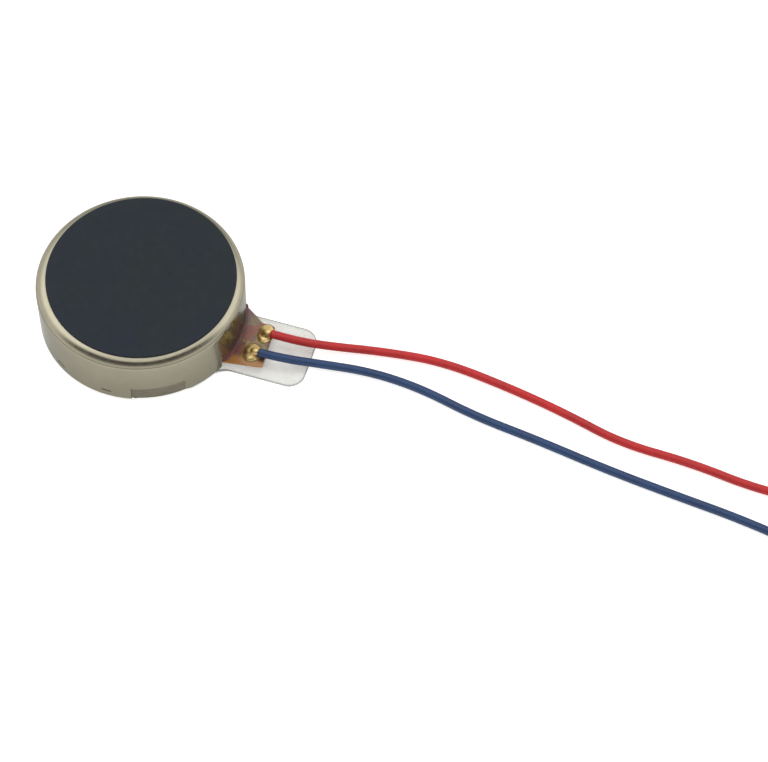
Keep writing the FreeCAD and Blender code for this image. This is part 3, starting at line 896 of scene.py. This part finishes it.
class COINMOTOR_OT_top_pad(bpy.types.Operator):
    """Makes the black pad on the top of the case"""

    bl_idname = "coin_motor.top_pad"
    bl_label = "Top pad"

    def execute(self, context):
        sizes = context.scene.coin_motor_sizes
        low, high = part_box("top_pad")
        radius, edge = sizes.pad_radius, sizes.pad_edge
        profile = [(0.02 * MM, low[2]), (radius - 0.01 * MM, low[2]),
                   (radius, low[2] + 0.01 * MM)]
        profile += arc(radius - edge, high[2] - edge, edge, 0, 90, 6)
        profile += [(radius * share, high[2]) for share in (0.9, 0.7, 0.5, 0.3, 0.1, 0.01)]
        pad = turned("black_top_pad", profile)
        pad.location = ((low[0] + high[0]) / 2, (low[1] + high[1]) / 2, 0)
        settle(pad)
        finished(pad, "top_pad", finish=black_pad_rubber(context.scene.coin_motor_colours))
        return {"FINISHED"}


# ---- stuck-on films ---------------------------------------------------------------------
class COINMOTOR_OT_films(bpy.types.Operator):
    """Makes the adhesive disc and the clear release liner with its pull tab"""

    bl_idname = "coin_motor.films"
    bl_label = "Adhesive and liner"

    TAB_START = 3.60 * MM
    TAB_NEAR = -1.93 * MM
    TAB_FAR = 1.43 * MM
    TAB_CORNER = 0.80 * MM
    NECK = 1.20 * MM
    HAIRLINE = 0.05 * MM

    def execute(self, context):
        sizes = context.scene.coin_motor_sizes
        colours = context.scene.coin_motor_colours
        low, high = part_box("adhesive_disc")
        radius, edge = sizes.adhesive_radius, 0.015 * MM
        profile = [(0.02 * MM, low[2]), (radius - edge, low[2]), (radius, low[2] + edge),
                   (radius, high[2] - edge), (radius - edge, high[2]), (0.02 * MM, high[2])]
        tape = turned("adhesive_layer", profile)
        finished(tape, "adhesive_disc", finish=milky_tape())
        liner = self.liner(sizes)
        finished(liner, "release_liner", finish=clear_film(colours))
        self.grey_the_edge(liner, film_edge())
        return {"FINISHED"}

    def liner(self, sizes):
        """A disc and a tab with round corners, flared where the two meet."""
        low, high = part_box("release_liner")
        radius = sizes.liner_radius
        liner = turned("clear_release_liner",
                       [(0.02 * MM, low[2]), (radius, low[2]), (radius, high[2]),
                        (0.02 * MM, high[2])])
        tab = box_block("tab", (self.TAB_START, self.TAB_NEAR, low[2]),
                        (high[0], self.TAB_FAR, high[2]))
        edit(tab)
        select_edges(tab, lambda a, b: abs(a.z - b.z) > 0.01 * MM and a.x > 8 * MM)
        bpy.ops.mesh.bevel(offset=self.TAB_CORNER, segments=20, affect="EDGES")
        bpy.ops.object.mode_set(mode="OBJECT")
        for side, edge in ((-1, -self.TAB_NEAR), (1, self.TAB_FAR)):
            carve(tab, self.flare(side, edge, radius, low[2], high[2]), "UNION")
        carve(liner, tab, "UNION")
        close_up(liner)
        return liner

    def flare(self, side, edge, radius, low, high):
        """The web between the disc and one edge of the tab, hollowed by a round cutter."""
        centre_y = edge + self.NECK
        centre_x = math.sqrt((radius + self.NECK) ** 2 - centre_y ** 2)
        touch_y = centre_y * radius / (radius + self.NECK)
        near, far = sorted((side * (edge - 0.1 * MM), side * touch_y))
        web = box_block("flare", (self.TAB_START, near, low), (centre_x, far, high))
        deselect()
        bpy.ops.mesh.primitive_cylinder_add(vertices=160, radius=self.NECK, depth=MM,
                                            location=(centre_x, side * centre_y, 0))
        carve(web, started("hollow"))
        return web

    def grey_the_edge(self, liner, finish):
        """Gives the film's cut faces and a hairline beside them their own finish."""
        liner.data.materials.append(finish)
        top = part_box("release_liner")[1][2] - 0.001 * MM
        edit(liner)
        bpy.ops.mesh.select_all(action="DESELECT")
        shape = bmesh.from_edit_mesh(liner.data)
        for face in shape.faces:
            face.material_index = 1
            # by height and not by normal: a sliver of no area has no normal, and one that is
            # left out becomes a border, which the inset then throws far off
            if min(corner.co.z for corner in face.verts) > top:
                face.select_set(True)
        bmesh.update_edit_mesh(liner.data)
        bpy.ops.mesh.inset(thickness=self.HAIRLINE, depth=0)
        bpy.ops.object.mode_set(mode="OBJECT")
        for face in liner.data.polygons:
            if face.select or face.normal.z < -0.5:
                face.material_index = 0


# ---- circuit, solder and sealant --------------------------------------------------------
class COINMOTOR_OT_circuit(bpy.types.Operator):
    """Finishes the flexible circuit's films and traces"""

    bl_idname = "coin_motor.circuit"
    bl_label = "Flexible circuit"

    def execute(self, context):
        colours = context.scene.coin_motor_colours
        gold = metal("gold_flashed_copper", "#D9B25A", "#B98E3C", 0.26, 0.06)
        coat("flex_base_film", polyimide(colours, "polyimide_base_film", 0.92))
        coat("flex_coverlay", polyimide(colours, "polyimide_cover_film", 0.72))
        coat("flex_trace_positive", gold)
        coat("flex_trace_negative", gold)
        coat("commutator_segments", gold)
        return {"FINISHED"}


class COINMOTOR_OT_solder(bpy.types.Operator):
    """Makes the two hand-soldered joints on the tab"""

    bl_idname = "coin_motor.solder"
    bl_label = "Solder joints"

    def execute(self, context):
        tin = metal("reflowed_tin_solder", "#E6CE94", "#C2A566", 0.40, 0.12, 0.15)
        flux = set_flux()
        joints = (("red", RED_ROUTE, (0.02, 0.08)), ("blue", BLUE_ROUTE, (-0.03, 0.06)))
        for tone, route, lean in joints:
            mound = self.mound("solder_mound_" + tone, "solder_joint_" + tone, route, lean)
            finished(mound, "solder_joint_" + tone, finish=tin, angle=80.0)
            self.flux_skirt(mound, flux)
        return {"FINISHED"}

    def mound(self, name, node, route, lean):
        """Wetted foot, body, a sleeve round the wire and a skirt of flux, melted into one."""
        low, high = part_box(node)
        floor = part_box("flex_coverlay")[1][2] / MM
        centre = (Vector(low) + Vector(high)) / 2 / MM
        deep, width, _ = (Vector(high) - Vector(low)) / MM
        wire = Vector(route[0]) / MM
        # centre, half sizes
        lumps = [
            ((centre.x + 0.04, centre.y + lean[1], floor), (deep * 0.90, width * 0.96, 0.07)),
            ((centre.x + 0.02, centre.y + lean[1] / 2, floor),
             (deep * 0.70, width * 0.78, 0.16)),
            ((centre.x + lean[0] + 0.05, centre.y + lean[1] / 2, floor + 0.10),
             (deep * 0.56, width * 0.42, 0.20)),
            ((wire.x - 0.17, wire.y, wire.z), (0.24, 0.19, 0.18)),
        ]
        parts = []
        for place, half in lumps:
            deselect()
            bpy.ops.mesh.primitive_uv_sphere_add(segments=32, ring_count=16, radius=1.0,
                                                 location=place)
            bpy.context.object.scale = half
            parts.append(started(name))
        mound = joined(parts, name)
        return melted(mound, floor - 0.03, voxel=0.016, spacing=0.40, strength=0.05,
                      smoothing=24)

    def flux_skirt(self, mound, finish):
        """Gives the thin skirt round the metal the finish of set flux."""
        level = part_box("flex_coverlay")[1][2] + 0.035 * MM
        mound.data.materials.append(finish)
        for face in mound.data.polygons:
            if face.center.z < level:
                face.material_index = 1


class COINMOTOR_OT_sealant(bpy.types.Operator):
    """Makes the adhesive that fills the window and the bead outside it"""

    bl_idname = "coin_motor.sealant"
    bl_label = "Sealant"

    SWEEP = 19.2                 # degrees to each side of the tab
    PLUG_SWEEP = 22.0            # the plug fills the window from end to end
    # distance out from the wall and height above the circuit, in millimetres
    SECTION = ((-0.18, -0.03), (0.15, -0.03), (0.09, 0.00), (0.03, 0.04), (-0.01, 0.09),
               (-0.03, 0.18), (-0.04, 0.42), (-0.18, 0.42))
    END_DROP = (19.0, 0.00, 0.05, 0.10)   # degrees, distance out, height, radius
    SWEEP_STEPS = 80
    PLUG = (-0.18, -0.03, -0.03, 0.42)    # distances out, then heights

    def execute(self, context):
        wall = context.scene.coin_motor_sizes.case_radius / MM
        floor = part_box("flex_coverlay")[1][2] / MM
        deselect()
        bpy.ops.mesh.primitive_circle_add(vertices=len(self.SECTION), radius=1.0,
                                          fill_type="NGON")
        bead = bpy.context.object
        turn = math.radians(-self.SWEEP)
        for corner, (out, height) in zip(bead.data.vertices, self.SECTION):
            corner.co = ((wall + out) * math.cos(turn), (wall + out) * math.sin(turn),
                         floor + height)
        bead.name = "window_sealant"
        edit(bead)
        spin_about_shaft(self.SWEEP_STEPS, 2 * self.SWEEP)
        close_up(bead)
        angle, out, height, radius = self.END_DROP
        angle = math.radians(angle)
        deselect()
        bpy.ops.mesh.primitive_uv_sphere_add(
            segments=24, ring_count=12, radius=radius,
            location=((wall + out) * math.cos(angle), (wall + out) * math.sin(angle),
                      floor + height))
        drop = started("end_drop")
        inner, outer, low, high = self.PLUG
        plug = sector_block("window_plug", wall + inner, wall + outer, floor + low,
                            floor + high, -self.PLUG_SWEEP, self.PLUG_SWEEP,
                            self.SWEEP_STEPS)
        bead = joined([bead, drop, plug], "window_sealant")
        melted(bead, floor - 0.01, voxel=0.018, spacing=0.55, strength=0.06, smoothing=6)
        finished(bead, "exit_sealant", finish=amber_glue(context.scene.coin_motor_colours),
                 angle=80.0)
        return {"FINISHED"}


# ---- inside the case --------------------------------------------------------------------
class COINMOTOR_OT_coils(bpy.types.Operator):
    """Winds the two flat coils of the rotor"""

    bl_idname = "coin_motor.coils"
    bl_label = "Coils"

    WIRE = 0.08 * MM             # pitch of the winding, drawn coarse enough to show

    def execute(self, context):
        finish = metal("enamelled_copper_wire", "#B5622C", "#8F4520", 0.30, 0.05)
        for node in ("coil_left", "coil_right"):
            coil = self.coil(node + "_winding", node)
            finished(coil, node, body=ROTOR, finish=finish, angle=60.0)
        return {"FINISHED"}

    def coil(self, name, node):
        """A ring whose surface shows the rows of wire."""
        low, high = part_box(node)
        outer = (high[0] - low[0]) / 2
        inner = 0.43 * MM
        bead = self.WIRE / 2
        rows = round((high[2] - low[2]) / self.WIRE)
        turns = int((outer - inner) / self.WIRE)
        profile = []
        for row in range(rows):
            profile += arc(outer - bead, low[2] + (row + 0.5) * self.WIRE, bead, -60, 60, 3)
        for turn in range(turns):
            profile += arc(outer - (turn + 0.5) * self.WIRE, high[2] - bead, bead, 30, 150, 3)
        for row in reversed(range(rows)):
            profile += arc(inner + bead, low[2] + (row + 0.5) * self.WIRE, bead, 120, 240, 3)
        profile.append(profile[0])
        coil = turned(name, profile, 96)
        coil.location = ((low[0] + high[0]) / 2, (low[1] + high[1]) / 2, 0)
        settle(coil)
        return coil


class COINMOTOR_OT_inside(bpy.types.Operator):
    """Finishes the plate, shaft, magnet, brushes and the rest of the rotor"""

    bl_idname = "coin_motor.inside"
    bl_label = "Inside"

    def execute(self, context):
        plate = metal("nickel_plated_plate", "#B5AFA2", "#989283", 0.32, 0.08)
        steel = metal("ground_steel_shaft", "#C9CACC", "#A9AAAD", 0.16, 0.03)
        weld = metal("heat_tinted_weld", "#8C7B66", "#5B5A66", 0.38, 0.05, 0.4)
        magnet = metal("plated_sintered_magnet", "#B9B8B4", "#9A9995", 0.34, 0.10, 0.3)
        spring = metal("gold_coloured_spring_alloy", "#D8BE82", "#B9994F", 0.22, 0.04)
        tin = metal("machine_solder", "#D2CFC6", "#B0ABA0", 0.26, 0.08)
        tungsten = metal("sintered_tungsten", "#8E8E8C", "#6F6F6D", 0.42, 0.07, 0.5)
        bronze = metal("sintered_bronze", "#A77C40", "#7E5A2C", 0.48, 0.06, 0.6)
        board = plastic("green_epoxy_laminate", "#1F6A3C", "#16502D", 0.42, 0.12)
        resin = plastic("black_moulded_resin", "#26272A", "#1B1C1F", 0.50, 0.08)
        washer = plastic("white_polyester_film", "#EDEBE2", "#DAD7CC", 0.35, 0.10)
        coats = {
            "base_plate": plate, "shaft": steel, "seam_welds": weld, "ring_magnet": magnet,
            "brush_positive": spring, "brush_negative": spring, "brush_solder_joints": tin,
            "coil_solder_joints": tin, "counterweight": tungsten, "rotor_bearing": bronze,
            "rotor_board": board, "rotor_resin": resin, "lower_washer": washer,
            "upper_washer": washer,
        }
        for node, finish in coats.items():
            coat(node, finish)
        return {"FINISHED"}


class COINMOTOR_PT_pieces(bpy.types.Panel):
    """Lists the motor's pieces in the sidebar"""

    bl_idname = "COINMOTOR_PT_pieces"
    bl_label = "Coin motor"
    bl_space_type = "VIEW_3D"
    bl_region_type = "UI"
    bl_category = "Coin Motor"

    def draw(self, context):
        for maker in MAKERS:
            self.layout.operator(maker.bl_idname)


MAKERS = (
    COINMOTOR_OT_stage,
    COINMOTOR_OT_leads,
    COINMOTOR_OT_case,
    COINMOTOR_OT_top_pad,
    COINMOTOR_OT_films,
    COINMOTOR_OT_circuit,
    COINMOTOR_OT_solder,
    COINMOTOR_OT_sealant,
    COINMOTOR_OT_coils,
    COINMOTOR_OT_inside,
)
CLASSES = (CoinMotorSizes, CoinMotorColours) + MAKERS + (COINMOTOR_PT_pieces,)


def register():
    for kind in CLASSES:
        bpy.utils.register_class(kind)
    bpy.types.Scene.coin_motor_sizes = PointerProperty(type=CoinMotorSizes)
    bpy.types.Scene.coin_motor_colours = PointerProperty(type=CoinMotorColours)


def unregister():
    del bpy.types.Scene.coin_motor_colours
    del bpy.types.Scene.coin_motor_sizes
    for kind in reversed(CLASSES):
        bpy.utils.unregister_class(kind)


def main():
    register()
    for maker in MAKERS:
        group, name = maker.bl_idname.split(".")
        getattr(getattr(bpy.ops, group), name)()


if __name__ == "__main__":
    main()
